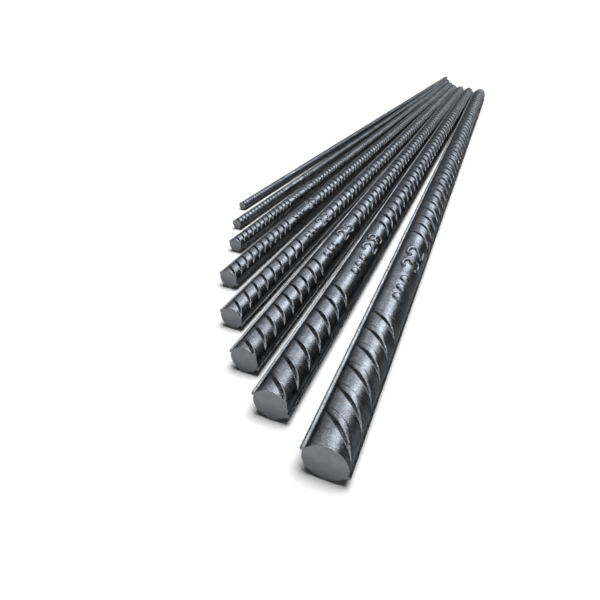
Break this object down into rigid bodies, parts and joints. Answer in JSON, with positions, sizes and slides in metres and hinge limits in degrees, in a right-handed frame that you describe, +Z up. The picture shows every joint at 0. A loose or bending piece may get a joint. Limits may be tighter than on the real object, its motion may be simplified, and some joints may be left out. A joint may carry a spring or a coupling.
{
  "type": "rebar bundle",
  "caption": "Loose bundle of ribbed steel reinforcing bars in graded diameters, cut to one length and fanned out on the floor.",
  "frame": {"origin": "on the floor, under the middle of the box round all the bars", "axes": "+Z up, +Y along the middle of the fan from the spread ends to the gathered ends, +X towards the thickest bar"},
  "size_m": [0.2812, 1.5314, 0.032],
  "materials": {
    "steel": "dark blue-grey mill scale, satin, with dull sawn ends"
  },
  "bodies": {
    "root": {"bar_d10": "steel", "bar_d12": "steel", "bar_d16": "steel", "bar_d20": "steel", "bar_d22": "steel", "bar_d25": "steel", "bar_d28": "steel", "bar_d32": "steel"}
  },
  "joints": []
}
